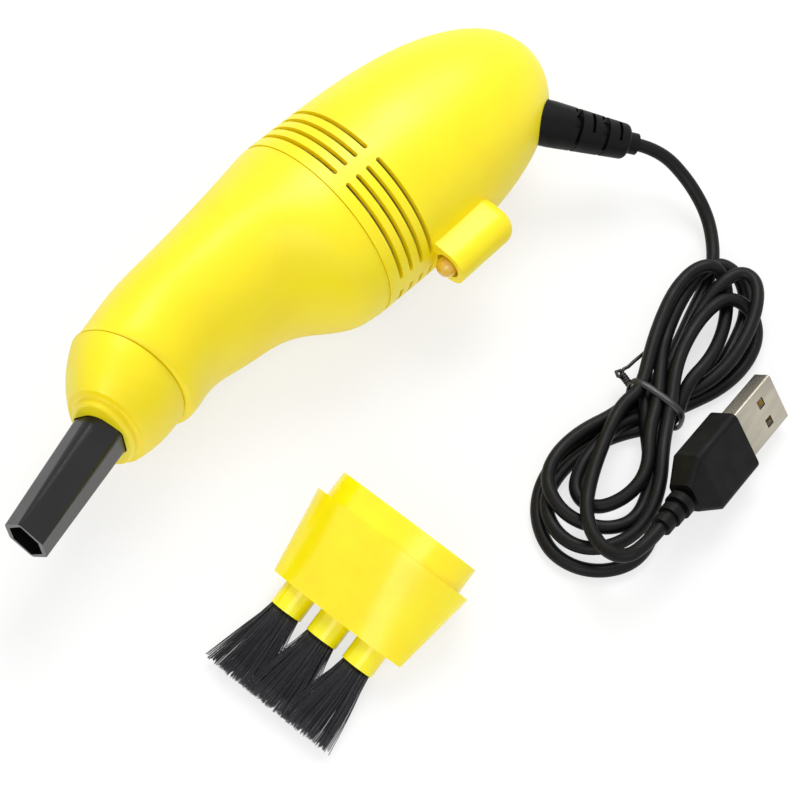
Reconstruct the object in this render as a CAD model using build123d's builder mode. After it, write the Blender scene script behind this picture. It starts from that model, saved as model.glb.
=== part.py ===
"""Desktop mini vacuum cleaner with its brush head, USB cord and plug.

Millimetres, +Z up.  The cleaner lies on its side, so its plane of symmetry is level:
+X runs along the body from the nozzle to the tail, +Y is the back of the body (the side
with the switch), -Y its belly (the side with the lamp), and the floor is Z = 0.  The
origin is on the floor, below the middle of the cleaner and its brush head.
"""

import os
from math import atan, atan2, cos, degrees, pi, radians, sin, sqrt, tan

from build123d import *

os.makedirs("parts", exist_ok=True)

# ---------------------------------------------------------------- driving dimensions
# The cleaner's places are measured from the centre of the joint between its two shells.
joint_x = 13.8
joint_y = 30.0
floor_gap = 0.1                # between the front shell's widest section and the floor

body_radius = 23.9
wall = 1.8                     # wall of every yellow shell
slip = 0.15                    # clearance of parts that push into each other
touch = 0.05                   # clearance of parts that sit tight
overrun = 2.0                  # how far a cut runs past what it cuts

# Rear shell: round and straight behind the joint, then closing to a blunt tail.
straight_length = 11.0
tail_length = 58.6             # from there to where the outline would reach the axis
tail_pad = 0.995               # share of it at which the small flat end lies
tail_turn = 1.9                # the axis leans towards the belly by this angle
tail_power = 2.5
tail_root = 0.44

# Joint ring.
ring_length = 1.2              # length that shows between the shells
ring_step = 0.3                # how far it lies under the shells' surface
ring_line = 0.12               # fine gap on each side of it
ring_front_lip = 3.6           # lips that reach into the shells
ring_rear_lip = 2.4
ring_wall = 1.4

# Front shell's sections: place along x, shift of the centre towards the back, turn in
# degrees, and half sizes (back to belly, side to side).
shell_sections = [
    (-5.2, 0.1, 0.0, 23.1, 24.0),
    (-10.4, 0.9, 2.0, 21.2, 23.7),
    (-16.6, 2.7, 5.0, 18.2, 23.1),
    (-25.5, 3.7, 9.0, 15.9, 22.4),
    (-35.5, 3.9, 14.0, 14.9, 21.6),
    (-45.5, 3.4, 19.0, 14.1, 20.8),
]
nose_section = (-54.9, 2.2, 23.0, 13.4, 20.0)

# Nose cap, measured along its own axis from the nose joint.
cap_turn = 26.0
cap_length = 12.4              # nose joint to the cap's front face
cap_front_half_width = 8.5
cap_front_half_height = 16.2
cap_swell = 0.9                # how far its middle bulges over a straight cone
cap_line = 0.25                # fine gap at the nose joint
cap_face = 2.6                 # thickness of the front face
cap_hollow = 1.8               # thickness of the cap's rear face round the spigot
cap_cove = 0.7                 # hollow rounding at the foot of the collar
spigot_length = 6.0
spigot_wall = 1.6
collar_length = 2.2            # rounded collar round the nozzle
collar_half_width = 7.0
collar_half_height = 13.8
collar_round = 0.9

# Nozzle: nearly oval at its root, six-sided with a crease at its tip.
nozzle_turn = 15.0
nozzle_shift = 0.6             # its axis leaves the collar this far towards the back
nozzle_length = 28.6           # length in front of the collar
nozzle_root = 7.5              # length held inside the cap
nozzle_half_width = 5.5
nozzle_half_height = 10.2
nozzle_flat = 4.6              # half length of the flats on its two sides
nozzle_round = 3.6             # rounding of its corners
tip_half_width = 4.7
tip_half_height = 8.2
tip_flat = 3.2
tip_round = 0.9
nozzle_wall = 1.1
nozzle_gap = 0.25              # clearance round the nozzle in the collar
nozzle_flange = 1.4            # thickness of the flange behind the cap's face
nozzle_flange_reach = 1.3

# Vents: slots in groups round the body, angles from the back over the upper side.
vent_place = 4.0
vent_pitch = 3.1
vent_rows = 4
vent_width = 1.15
vent_groups = [(35.0, 99.0), (109.0, 173.0), (187.0, 251.0), (261.0, 325.0)]

# Lamp and its hood.
hood_place = 14.5              # the hood's open front
hood_length = 18.3
hood_radius = 4.9
hood_round = 3.5
lamp_shift = -28.0             # the lamp's axis
lamp_diameter = 5.0
lamp_length = 8.6
lamp_rim = 0.4
lamp_rim_length = 1.0
lamp_reach = 2.6               # how far the lamp stands out of the hood
lamp_clearance = 0.3
lead_diameter = 0.5
lead_pitch = 2.54
lead_way = 2.6                 # width of the way for the leads into the body
resistor_diameter = 2.3
resistor_length = 6.0
resistor_place = 25.0
resistor_shift = -17.5

# Fan and motor, all on one axis.
rotor_shift = -0.4
plate_place = 0.9
plate_thick = 2.0
inlet_radius = 9.0
fan_place = 4.0
fan_radius = 18.2
fan_depth = 8.2
fan_disc = 1.2
fan_blades = 9
blade_thick = 1.0
blade_sweep = 28.0
hub_radius = 4.2
shaft_diameter = 2.0
shaft_clearance = 0.04
motor_place = 18.0             # front face of the motor can
motor_diameter = 24.0
motor_length = 25.0
motor_wall = 1.0
motor_boss = 3.5
motor_boss_length = 1.5
end_cap_thick = 2.6
end_boss_length = 2.0
magnet_thick = 2.8
magnet_length = 16.0
magnet_gap = 1.5               # from the can's front wall
magnet_arc = 120.0
armature_gap = 0.5             # between armature and magnets
armature_length = 14.0
armature_slot = 2.2
armature_slot_depth = 4.0
commutator_radius = 2.8
commutator_length = 3.0
terminal_reach = 4.8
terminal_width = 2.4
terminal_thick = 0.5
terminal_place = 7.5           # from the motor's axis
solder_gap = 0.45              # from a terminal's face to the middle of a wire's end
mount_thick = 2.0
mount_gap = 0.3
cradle_length = 7.0
cradle_wall = 1.4

# Filter.
filter_neck_length = 3.4       # inside the joint ring
filter_rim_length = 1.5
filter_rim_over = 0.3          # how far the rim lies over the ring's lip
filter_bar = 2.0
filter_depth = 15.0
filter_tip_half_width = 10.6
filter_tip_half_height = 14.5
filter_tip_shift = 2.4
filter_wall = 1.2

# Switch.
switch_place = 38.0
switch_length = 13.0
switch_width = 6.4
switch_height = 4.0
knob_length = 7.0
knob_width = 5.0
knob_rise = 0.6
knob_travel = 3.0
knob_clearance = 0.3
knob_flange = 0.8              # how far the knob's foot reaches past its cap
knob_foot = 1.0
foot_gap = 0.5                 # between the foot and the shell
foot_slip = 0.1                # between the foot and the switch body
rib_thick = 1.5

# Tail: anchor block and its screws (place, angle round the axis, lean to the tail).
anchor_front = 51.0
anchor_rear = 64.0
anchor_gap = 0.3
anchor_bore = 5.5
anchor_way = 3.3               # radius of the way for the wires from the strain relief
anchor_way_length = 12.0
screw_seats = [(67.0, 68.0, 58.0), (58.6, 33.0, 38.0)]
screw_head = 3.8
screw_head_length = 1.6
screw_shank = 2.0
screw_length = 8.0
screw_recess = 2.6             # depth of the head's seat below the surface
screw_clearance = 0.1
screw_boss_wall = 1.5
screw_slot = 0.6

# Strain relief.
relief_point = (60.3, -18.1, -1.2)
relief_turn = -47.5            # direction seen from above
relief_fall = 19.5             # and how far it droops
relief_length = 19.4
relief_root = 10.0             # length inside the shell
relief_diameter = 11.0
relief_end_diameter = 8.4
relief_core = 6.0
relief_gap = 0.1
relief_flange = 13.2
relief_flange_thick = 1.8
relief_round = 1.2
relief_collar_diameter = 5.2
relief_collar_length = 2.6
relief_groove = 0.9
relief_grooves = [5.8, 12.9]
relief_windows = [(5.4, 1.9), (9.2, 0.8), (12.3, 1.9), (16.3, 0.8)]
relief_window_height = 5.4

# Inner wires.
wire_diameter = 1.2
wire_spread = 0.9              # from the relief's axis to each wire
wire_start = 7.0               # straight length out of the relief
wire_room = 1.6                # behind the motor's terminals

# Cord.
cord_diameter = 3.2
lead_start = 6.3               # straight length out of the strain relief
lead_points = [(93.3, -16.2, 8.5), (91.4, -24.4, 4.7), (86.4, -31.0, 3.0), (80.4, -35.6, 2.7)]
tail_start = 6.4               # straight length out of the plug
tail_points = [(4.6, -71.8, 12.4), (0.7, -67.8, 8.9), (-0.1, -62.2, 5.9)]
hank_height = 9.8
hank_round = 2.6
hank_outline = [
    (85.4, -38.4), (84.4, -46.0), (78.2, -53.4), (68.8, -59.4), (56.8, -58.2), (47.8, -54.4),
    (39.8, -58.4), (28.8, -65.6), (13.8, -73.0), (1.0, -70.0), (-2.2, -59.6), (4.4, -47.4),
    (15.8, -40.4), (28.8, -39.6), (38.8, -43.0), (47.8, -41.4), (61.8, -35.2), (74.8, -31.2),
]

# Twist tie round the hank's waist.
tie_x = 43.2
tie_y = -49.4
tie_turn = 4.0
tie_half_width = 6.9
tie_band = 2.6
tie_thick = 0.6
tie_end_y = -38.9
tie_end_turn = 18.0
tie_end_length = 9.0
tie_end_width = 2.2
tie_end_thick = 0.7

# Plug: place of the shell's root and turns of the plug's own frame.
plug_place = (47.7, -68.9, 9.3)
plug_yaw = 6.0
plug_pitch = 8.5
plug_roll = 49.0
plug_shell_length = 14.6
plug_shell_root = 5.0
plug_shell_width = 12.0
plug_shell_height = 4.5
plug_shell_wall = 0.35
plug_shell_round = 0.6
plug_window = 2.2
plug_window_spacing = 5.2
plug_window_place = 8.6
tongue_width = 11.0
tongue_thick = 1.9
tongue_length = 12.6
contact_width = 1.1
contact_pitch = 2.3
contact_length = 8.0
contact_thick = 0.15
contact_end = 1.0              # from the tongue's tip
grip_start = 1.0
grip_length = 15.0
grip_width = 15.2
grip_height = 8.0
grip_round = 1.6
grip_taper = 5.5
grip_tail_width = 7.4
grip_tail_height = 6.6
tail_ribs = 3
tail_rib_pitch = 3.2
tail_rib_length = 2.0
tail_diameter = 6.4
tail_end_diameter = 4.8
tail_core_diameter = 4.2

# Brush head.
brush_x = -19.8
brush_y = -32.4
brush_turn = 4.6
brush_length = 20.0
brush_half_width = 20.5
brush_half_height = 13.4
brush_end_half_width = 17.6
brush_end_half_height = 6.5
brush_neck_length = 6.0
brush_face = 2.5
brush_tubes = 3
brush_tube_pitch = 9.95
brush_tube_diameter = 7.8
brush_tube_length = 5.5
brush_tube_bore = 6.5
tuft_root = 4.0                # length of a tuft inside its tube
tuft_length = 18.0             # and outside it
tuft_half_width = 4.8
tuft_half_height = 2.1
tuft_clear = 0.3               # how far the bristle tips stay above the floor

# ---------------------------------------------------------------- frames and outlines
axis_z = shell_sections[0][4] + floor_gap

def place(x, shift=0.0, rise=0.0):
    """Point measured from the centre of the shell joint."""
    return Vector(joint_x + x, joint_y + shift, axis_z + rise)

def section_plane(centre, turn):
    """Plane across the body: local x towards the belly, local y up, facing the nozzle."""
    out = radians(turn)
    return Plane(origin=centre, x_dir=(sin(out), -cos(out), 0), z_dir=(-cos(out), -sin(out), 0))

def tail_plane(x, shift=0.0):
    """Plane across the body, facing the tail: local x towards the back, local y up."""
    return Plane(origin=place(x, shift), x_dir=(0, 1, 0), z_dir=(1, 0, 0))

def rotor_plane(x):
    """Plane across the motor's axis, facing the tail."""
    return tail_plane(x, rotor_shift)

def along(plane, right=0.0, up=0.0, out=0.0):
    """Point given in a plane's own directions."""
    return plane.origin + plane.x_dir * right + plane.y_dir * up + plane.z_dir * out

def tail_radius(x, inset=0.0):
    """Radius of the rear shell's outline at x, set in by a wall."""
    part_way = max(0.0, (x - straight_length) / (tail_length - inset))
    return (body_radius - inset) * max(0.0, 1 - part_way**tail_power) ** tail_root

def body_axis(x):
    """Shift of the rear shell's axis at x."""
    return -tan(radians(tail_turn)) * x

def oval_loft(sections):
    """Solid through oval sections (centre, turn, half width, half height)."""
    with BuildPart() as body:
        for centre, turn, half_width, half_height in sections:
            with BuildSketch(section_plane(centre, turn)):
                Ellipse(half_width, half_height)
        loft()
    return body.part

def rod(start, direction, radius, length):
    """Round bar from a point along a direction."""
    with BuildPart() as bar:
        with BuildSketch(Plane(origin=start, z_dir=direction)):
            Circle(radius)
        extrude(amount=length)
    return bar.part

tail_axis = Vector(cos(radians(tail_turn)), -sin(radians(tail_turn)), 0)

def tail_dome(inset):
    """Round solid inside the rear shell's outline, set in by a wall."""
    frame = Plane(origin=place(0), x_dir=tail_axis, z_dir=tail_axis.cross(Vector(0, 0, 1)))
    radius = body_radius - inset
    closing = tail_length - inset
    shares = (0.0, 0.3, 0.5, 0.68, 0.82, 0.92, 0.97, tail_pad)
    outline = [
        (straight_length + closing * share, radius * (1 - share**tail_power) ** tail_root)
        for share in shares
    ]
    with BuildPart() as dome:
        with BuildSketch(frame):
            with BuildLine():
                Polyline((-overrun, 0), (-overrun, radius), outline[0])
                Spline(outline, tangents=[(1, 0), (0.12, -1)])
                Polyline(outline[-1], (outline[-1][0], 0), (-overrun, 0))
            make_face()
        revolve(axis=Axis(frame.origin, tail_axis))
    return dome.part

def bend_radii(points):
    """Radius at each inner point: 0.45 of the shorter run over the half turn's tangent."""
    radii = []
    for before, here, after in zip(points, points[1:], points[2:]):
        run_in = here - before
        run_out = after - here
        half_turn = radians(run_in.get_angle(run_out)) / 2
        radii.append(0.45 * min(run_in.length, run_out.length) / tan(half_turn))
    return radii

def bent_tube(name, points, diameter):
    """Round tube of straight runs joined by tangent arcs."""
    points = [Vector(*point) for point in points]
    radii = bend_radii(points)
    with BuildPart() as tube:
        with BuildLine() as path:
            FilletPolyline(*points, radius=radii)
        with BuildSketch(Plane(origin=points[0], z_dir=points[1] - points[0])):
            Circle(diameter / 2)
        sweep()
    length = sum(edge.length for edge in path.edges())
    share = tube.part.volume / (pi * diameter**2 / 4 * length)
    print(f"{name}: {length:.1f} mm, radii {[round(r, 1) for r in radii]}, volume share {share:.4f}")
    return tube.part

def save(shape, name):
    """Label a finished piece and write its file."""
    shape.label = name
    export_step(shape, f"parts/{name}.step")

rear_start = ring_length / 2
front_start = -ring_length / 2
lip_radius = body_radius - wall - slip
lip_front = front_start - ring_front_lip
ring_bore = lip_radius - ring_wall

# ---------------------------------------------------------------- rear shell
relief_way = Vector(
    cos(radians(relief_fall)) * cos(radians(relief_turn)),
    cos(radians(relief_fall)) * sin(radians(relief_turn)),
    -sin(radians(relief_fall)),
)
relief_plane = Plane(
    origin=place(*relief_point),
    x_dir=(-sin(radians(relief_turn)), cos(radians(relief_turn)), 0),
    z_dir=relief_way,
)

def screw_plane(x, angle, lean, side):
    """Plane on the shell's surface, facing outwards along a screw's axis."""
    round_axis = radians(angle) * side
    radius = tail_radius(x)
    centre = place(x, body_axis(x) + radius * cos(round_axis), radius * sin(round_axis))
    sideways = cos(radians(lean))
    out = (sin(radians(lean)), sideways * cos(round_axis), sideways * sin(round_axis))
    return Plane(origin=centre, z_dir=out)

screw_planes = [screw_plane(*seat, side) for seat in screw_seats for side in (1, -1)]
seat_radius = screw_head / 2 + screw_clearance
shank_hole = screw_shank / 2 + screw_clearance
boss_radius = seat_radius + screw_boss_wall
boss_depth = screw_recess + wall
rear_outer = tail_dome(0)

with BuildPart() as screw_bosses:
    for plane in screw_planes:
        add(rod(along(plane, out=overrun), -plane.z_dir, boss_radius, boss_depth + overrun))
    add(rear_outer, mode=Mode.INTERSECT)

hood_plane = tail_plane(hood_place, lamp_shift)
hood_depth = body_axis(hood_place) - body_radius + 2 * wall - lamp_shift
with BuildPart() as hood:
    with BuildSketch(hood_plane):
        Circle(hood_radius)
        with Locations((hood_depth / 2, 0)):
            Rectangle(hood_depth, 2 * hood_radius)
    extrude(amount=hood_length)
    fillet(hood.faces().sort_by(Axis.X)[-1].edges(), hood_round)

vent_outside = body_radius + overrun
vent_inside = body_radius - wall - overrun
with BuildPart() as vents:
    for row in range(vent_rows):
        vent_x = vent_place + row * vent_pitch
        for first, last in vent_groups:
            with BuildSketch(tail_plane(vent_x - vent_width / 2)):
                with BuildLine():
                    big = CenterArc((0, 0), vent_outside, first, last - first)
                    small = CenterArc((0, 0), vent_inside, first, last - first)
                    Line(big @ 0, small @ 0)
                    Line(big @ 1, small @ 1)
                make_face()
            extrude(amount=vent_width)
            for angle in (first, last):
                way = Vector(0, cos(radians(angle)), sin(radians(angle)))
                add(rod(place(vent_x) + way * vent_inside, way, vent_width / 2, vent_outside - vent_inside))

# The knob's foot slides between the switch body and the shell's inner face.
knob_half_width = knob_width / 2 + knob_flange
narrow = switch_place + knob_length / 2 + knob_flange + knob_travel / 2
foot_top = body_axis(narrow) + sqrt(tail_radius(narrow, wall) ** 2 - knob_half_width**2) - foot_gap
switch_top = foot_top - knob_foot - foot_slip
switch_plane = Plane(origin=place(switch_place, switch_top), x_dir=(1, 0, 0), z_dir=(0, 1, 0))

with BuildPart() as switch_ribs:
    rib_place = switch_length / 2 + foot_slip + rib_thick / 2
    with BuildSketch(switch_plane.offset(-switch_height)):
        with Locations((-rib_place, 0), (rib_place, 0)):
            Rectangle(rib_thick, switch_width)
    extrude(amount=body_radius)
    add(rear_outer, mode=Mode.INTERSECT)

lead_way_place = hood_place + lamp_length - lead_way / 2
with BuildPart() as rear_shell:
    add(rear_outer)
    add(hood.part)
    add(tail_dome(wall), mode=Mode.SUBTRACT)
    split(bisect_by=Plane.YZ.offset(joint_x + rear_start), keep=Keep.TOP)
    add(screw_bosses.part)
    add(switch_ribs.part)
    add(vents.part, mode=Mode.SUBTRACT)
    # Lamp bore and the way in for its leads.
    with BuildSketch(hood_plane):
        Circle(lamp_diameter / 2 + lamp_rim + lamp_clearance)
    extrude(amount=lamp_length, mode=Mode.SUBTRACT)
    with BuildSketch(Plane(origin=place(lead_way_place, lamp_shift), x_dir=(1, 0, 0), z_dir=(0, 1, 0))):
        Rectangle(lead_way, lead_pitch + lead_way)
    extrude(amount=hood_depth + 2 * wall, mode=Mode.SUBTRACT)
    # Window of the switch.
    with BuildSketch(switch_plane):
        SlotOverall(knob_length + knob_travel + 2 * knob_clearance, knob_width + 2 * knob_clearance)
    extrude(amount=body_radius, mode=Mode.SUBTRACT)
    # Way out of the strain relief.
    relief_hole = relief_diameter / 2 + relief_gap
    add(
        rod(along(relief_plane, out=-relief_root), relief_way, relief_hole, relief_root + 2 * overrun),
        mode=Mode.SUBTRACT,
    )
    # Screw seats and the holes below them.
    for plane in screw_planes:
        add(
            rod(along(plane, out=overrun), -plane.z_dir, seat_radius, screw_recess + overrun),
            mode=Mode.SUBTRACT,
        )
        add(rod(plane.origin, -plane.z_dir, shank_hole, boss_depth + overrun), mode=Mode.SUBTRACT)
save(rear_shell.part, "rear_shell")

# ---------------------------------------------------------------- front shell, ring
nose_place, nose_shift, nose_turn, nose_half_width, nose_half_height = nose_section
nose_plane = section_plane(place(nose_place, nose_shift), nose_turn)

def front_sections(inset):
    """The front shell's sections, set in by a wall."""
    first = (front_start, 0.0, 0.0, body_radius, body_radius)
    rows = [first] + shell_sections + [nose_section]
    return [(place(x, shift), turn, a - inset, b - inset) for x, shift, turn, a, b in rows]

with BuildPart() as front_shell:
    add(oval_loft(front_sections(0)))
    add(oval_loft(front_sections(wall)), mode=Mode.SUBTRACT)
    with BuildSketch(tail_plane(lip_front - slip)):
        Circle(lip_radius + slip)
    extrude(amount=ring_front_lip + slip + overrun, mode=Mode.SUBTRACT)
save(front_shell.part, "front_shell")

lip_length = ring_front_lip + ring_length + ring_rear_lip
with BuildPart() as joint_ring:
    with BuildSketch(tail_plane(front_start + ring_line)):
        Circle(body_radius - ring_step)
    extrude(amount=ring_length - 2 * ring_line)
    with BuildSketch(tail_plane(lip_front)):
        Circle(lip_radius)
    extrude(amount=lip_length)
    with BuildSketch(tail_plane(lip_front)):
        Circle(ring_bore)
    extrude(amount=lip_length, mode=Mode.SUBTRACT)
save(joint_ring.part, "joint_ring")

# ---------------------------------------------------------------- nose cap
# The spigot follows the front shell's last stretch, so the cap pulls off along it.
last_section = shell_sections[-1]
spigot_turn = degrees(atan2(last_section[1] - nose_shift, last_section[0] - nose_place))
spigot_way = Vector(cos(radians(spigot_turn)), sin(radians(spigot_turn)), 0)
spigot_half_width = nose_half_width - wall - slip
spigot_half_height = nose_half_height - wall - slip
cap_way = Vector(-cos(radians(cap_turn)), -sin(radians(cap_turn)), 0)
nozzle_way = Vector(-cos(radians(nozzle_turn)), -sin(radians(nozzle_turn)), 0)
cap_front = nose_plane.origin + cap_way * cap_length
collar_front = cap_front + cap_way * collar_length
nozzle_start = collar_front + Vector(0, nozzle_shift, 0)
print("cap pulls off along", -spigot_way)

def cap_sections(start, end, inset):
    """The cap's sections between two places, set in by a wall."""
    sections = []
    for step in (0.0, 0.5, 1.0):
        share = (start + (end - start) * step) / cap_length
        swell = cap_swell * 4 * share * (1 - share)
        half_width = nose_half_width + (cap_front_half_width - nose_half_width) * share + swell
        half_height = nose_half_height + (cap_front_half_height - nose_half_height) * share + swell
        centre = nose_plane.origin + cap_way * (cap_length * share)
        turn = nose_turn + (cap_turn - nose_turn) * share
        sections.append((centre, turn, half_width - inset, half_height - inset))
    return sections

def six_sided(half_width, half_height, flat, round_off):
    """Tall six-sided outline with flats left and right and corners top and bottom."""
    Polygon(
        (0, half_height), (half_width, flat), (half_width, -flat),
        (0, -half_height), (-half_width, -flat), (-half_width, flat),
        align=None,
    )
    fillet(vertices(), round_off)

def nozzle_loft(start, end, over):
    """Solid of the nozzle's outline between two places, larger by a margin."""
    with BuildPart() as solid:
        for distance in (start, end):
            share = (distance + nozzle_root) / (nozzle_root + nozzle_length)
            with BuildSketch(section_plane(nozzle_start + nozzle_way * distance, nozzle_turn)):
                six_sided(
                    nozzle_half_width + (tip_half_width - nozzle_half_width) * share + over,
                    nozzle_half_height + (tip_half_height - nozzle_half_height) * share + over,
                    nozzle_flat + (tip_flat - nozzle_flat) * share + over * 0.4,
                    nozzle_round + (tip_round - nozzle_round) * share + over * 0.5,
                )
        loft()
    return solid.part

with BuildPart() as nose_cap:
    add(oval_loft(cap_sections(cap_line, cap_length, 0)))
    with BuildSketch(section_plane(cap_front, cap_turn)):
        Ellipse(collar_half_width, collar_half_height)
    extrude(amount=collar_length)
    fillet(nose_cap.faces().sort_by(Axis.X)[0].edges(), collar_round)
    rims = nose_cap.edges().filter_by(lambda edge: abs((edge.center() - cap_front).dot(cap_way)) < 0.01)
    fillet(rims.sort_by(SortBy.LENGTH)[0], cap_cove)
    # Spigot that pushes into the front shell, its bore, the hollow and the nozzle's hole.
    with BuildSketch(nose_plane.offset(cap_line)):
        Ellipse(spigot_half_width, spigot_half_height)
    extrude(amount=spigot_length + cap_line, dir=spigot_way)
    add(oval_loft(cap_sections(cap_hollow, cap_length - cap_face, wall)), mode=Mode.SUBTRACT)
    with BuildSketch(nose_plane.offset(cap_hollow + slip)):
        Ellipse(spigot_half_width - spigot_wall, spigot_half_height - spigot_wall)
    extrude(amount=cap_hollow + spigot_length + overrun, dir=spigot_way, mode=Mode.SUBTRACT)
    add(nozzle_loft(-nozzle_root, overrun, nozzle_gap), mode=Mode.SUBTRACT)
save(nose_cap.part, "nose_cap")

# The nozzle's flange lies flat behind the cap's face.
flange_back = (collar_length + cap_face + slip + nozzle_flange) / cos(radians(cap_turn - nozzle_turn))
with BuildPart() as nozzle:
    add(nozzle_loft(-nozzle_root, nozzle_length, 0))
    with BuildSketch(section_plane(nozzle_start - nozzle_way * flange_back, cap_turn)):
        Ellipse(nozzle_half_width + nozzle_flange_reach, nozzle_half_height + nozzle_flange_reach)
    extrude(amount=nozzle_flange)
    add(nozzle_loft(-nozzle_root, nozzle_length, -nozzle_wall), mode=Mode.SUBTRACT)
save(nozzle.part, "nozzle")

# ---------------------------------------------------------------- filter
filter_front = lip_front - slip
filter_neck_radius = ring_bore - slip
filter_bore = filter_neck_radius - filter_bar
with BuildPart() as filter_frame:
    with BuildSketch(tail_plane(filter_front)):
        Circle(filter_neck_radius)
    extrude(amount=filter_neck_length)
    with BuildSketch(tail_plane(filter_front)):
        Circle(ring_bore + filter_rim_over)
    extrude(amount=-filter_rim_length)
    with BuildSketch(tail_plane(filter_front - filter_rim_length)):
        Circle(filter_bore)
    extrude(amount=filter_rim_length + filter_neck_length, mode=Mode.SUBTRACT)
    with BuildSketch(tail_plane(filter_front + filter_neck_length - filter_bar)):
        Rectangle(2 * filter_bore + filter_bar, filter_bar)
        Rectangle(filter_bar, 2 * filter_bore + filter_bar)
    extrude(amount=filter_bar)
save(filter_frame.part, "filter_frame")

cloth_rear = filter_front + filter_neck_length - filter_bar - slip
cloth_radius = filter_bore - slip

def cloth_loft(inset):
    """The filter's tapering cup, set in by its cloth."""
    tip = place(filter_front - filter_depth + inset, filter_tip_shift)
    return oval_loft([
        (place(cloth_rear), 0, cloth_radius - inset, cloth_radius - inset),
        (tip, 0, filter_tip_half_width - inset, filter_tip_half_height - inset),
    ])

with BuildPart() as filter_cloth:
    add(cloth_loft(0))
    add(cloth_loft(filter_wall), mode=Mode.SUBTRACT)
save(filter_cloth.part, "filter_cloth")

# ---------------------------------------------------------------- fan and motor
shaft_radius = shaft_diameter / 2
shaft_fit = shaft_radius + shaft_clearance / 2
shaft_bore = shaft_radius + shaft_clearance
motor_radius = motor_diameter / 2
motor_bore = motor_radius - motor_wall
motor_end = motor_place + motor_length

with BuildPart() as fan_plate:
    with BuildSketch(tail_plane(plate_place)):
        Circle(ring_bore - touch)
        with Locations((rotor_shift, 0)):
            Circle(inlet_radius, mode=Mode.SUBTRACT)
    extrude(amount=plate_thick)
save(fan_plate.part, "fan_plate")

blade_length = fan_radius - hub_radius - overrun / 4
with BuildPart() as fan:
    with BuildSketch(rotor_plane(fan_place)):
        Circle(hub_radius)
        with PolarLocations(hub_radius + blade_length / 2, fan_blades):
            Rectangle(blade_length, blade_thick, rotation=blade_sweep)
    extrude(amount=fan_depth)
    with BuildSketch(rotor_plane(fan_place + fan_depth - fan_disc)):
        Circle(fan_radius)
    extrude(amount=fan_disc)
    with BuildSketch(rotor_plane(fan_place)):
        Circle(shaft_fit)
    extrude(amount=fan_depth, mode=Mode.SUBTRACT)
save(fan.part, "fan")

with BuildPart() as motor_can:
    with BuildSketch(rotor_plane(motor_place)):
        Circle(motor_radius)
    extrude(amount=motor_length)
    with BuildSketch(rotor_plane(motor_place)):
        Circle(motor_boss)
    extrude(amount=-motor_boss_length)
    with BuildSketch(rotor_plane(motor_place + motor_wall)):
        Circle(motor_bore)
    extrude(amount=motor_length, mode=Mode.SUBTRACT)
    with BuildSketch(rotor_plane(motor_place - motor_boss_length)):
        Circle(shaft_bore)
    extrude(amount=motor_boss_length + motor_wall, mode=Mode.SUBTRACT)
save(motor_can.part, "motor_can")

with BuildPart() as motor_end_cap:
    with BuildSketch(rotor_plane(motor_end - end_cap_thick)):
        Circle(motor_bore - touch)
    extrude(amount=end_cap_thick)
    with BuildSketch(rotor_plane(motor_end)):
        Circle(hub_radius)
    extrude(amount=end_boss_length)
    with BuildSketch(rotor_plane(motor_end - end_cap_thick)):
        Circle(shaft_bore)
    extrude(amount=end_cap_thick + end_boss_length / 2, mode=Mode.SUBTRACT)
save(motor_end_cap.part, "motor_end_cap")

with BuildPart() as motor_terminals:
    with BuildSketch(rotor_plane(motor_end)):
        with Locations((0, terminal_place), (0, -terminal_place)):
            Rectangle(terminal_thick, terminal_width)
    extrude(amount=terminal_reach)
save(motor_terminals.part, "motor_terminals")

magnet_outer = motor_bore - touch
magnet_inner = magnet_outer - magnet_thick
magnet_place = motor_place + motor_wall + magnet_gap
with BuildPart() as motor_magnets:
    for middle in (0, 180):
        with BuildSketch(rotor_plane(magnet_place)):
            with BuildLine():
                outer_arc = CenterArc((0, 0), magnet_outer, middle - magnet_arc / 2, magnet_arc)
                inner_arc = CenterArc((0, 0), magnet_inner, middle - magnet_arc / 2, magnet_arc)
                Line(outer_arc @ 0, inner_arc @ 0)
                Line(outer_arc @ 1, inner_arc @ 1)
            make_face()
        extrude(amount=magnet_length)
save(motor_magnets.part, "motor_magnets")

armature_radius = magnet_inner - armature_gap
armature_place = magnet_place + (magnet_length - armature_length) / 2
with BuildPart() as armature:
    with BuildSketch(rotor_plane(armature_place)):
        Circle(armature_radius)
        with PolarLocations(armature_radius - armature_slot_depth / 2, 3):
            Rectangle(armature_slot_depth, armature_slot, mode=Mode.SUBTRACT)
    extrude(amount=armature_length)
    with BuildSketch(rotor_plane(armature_place + armature_length)):
        Circle(commutator_radius)
    extrude(amount=commutator_length)
    with BuildSketch(rotor_plane(armature_place)):
        Circle(shaft_fit)
    extrude(amount=armature_length + commutator_length, mode=Mode.SUBTRACT)
save(armature.part, "armature")

shaft_start = fan_place + fan_disc
shaft_end = motor_end + end_boss_length / 2 - slip
with BuildPart() as motor_shaft:
    with BuildSketch(rotor_plane(shaft_start)):
        Circle(shaft_radius)
    extrude(amount=shaft_end - shaft_start)
save(motor_shaft.part, "motor_shaft")

mount_front = motor_place - mount_thick
cradle_bore = motor_radius + touch
with BuildPart() as motor_mount:
    with BuildSketch(rotor_plane(mount_front)):
        with Locations((body_axis(motor_place) - rotor_shift, 0)):
            Circle(tail_radius(motor_place, wall) - mount_gap)
        Circle(motor_boss + touch, mode=Mode.SUBTRACT)
    extrude(amount=mount_thick - touch)
    with BuildSketch(rotor_plane(motor_place - touch)):
        Circle(cradle_bore + cradle_wall)
        Circle(cradle_bore, mode=Mode.SUBTRACT)
    extrude(amount=cradle_length)
save(motor_mount.part, "motor_mount")

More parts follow.
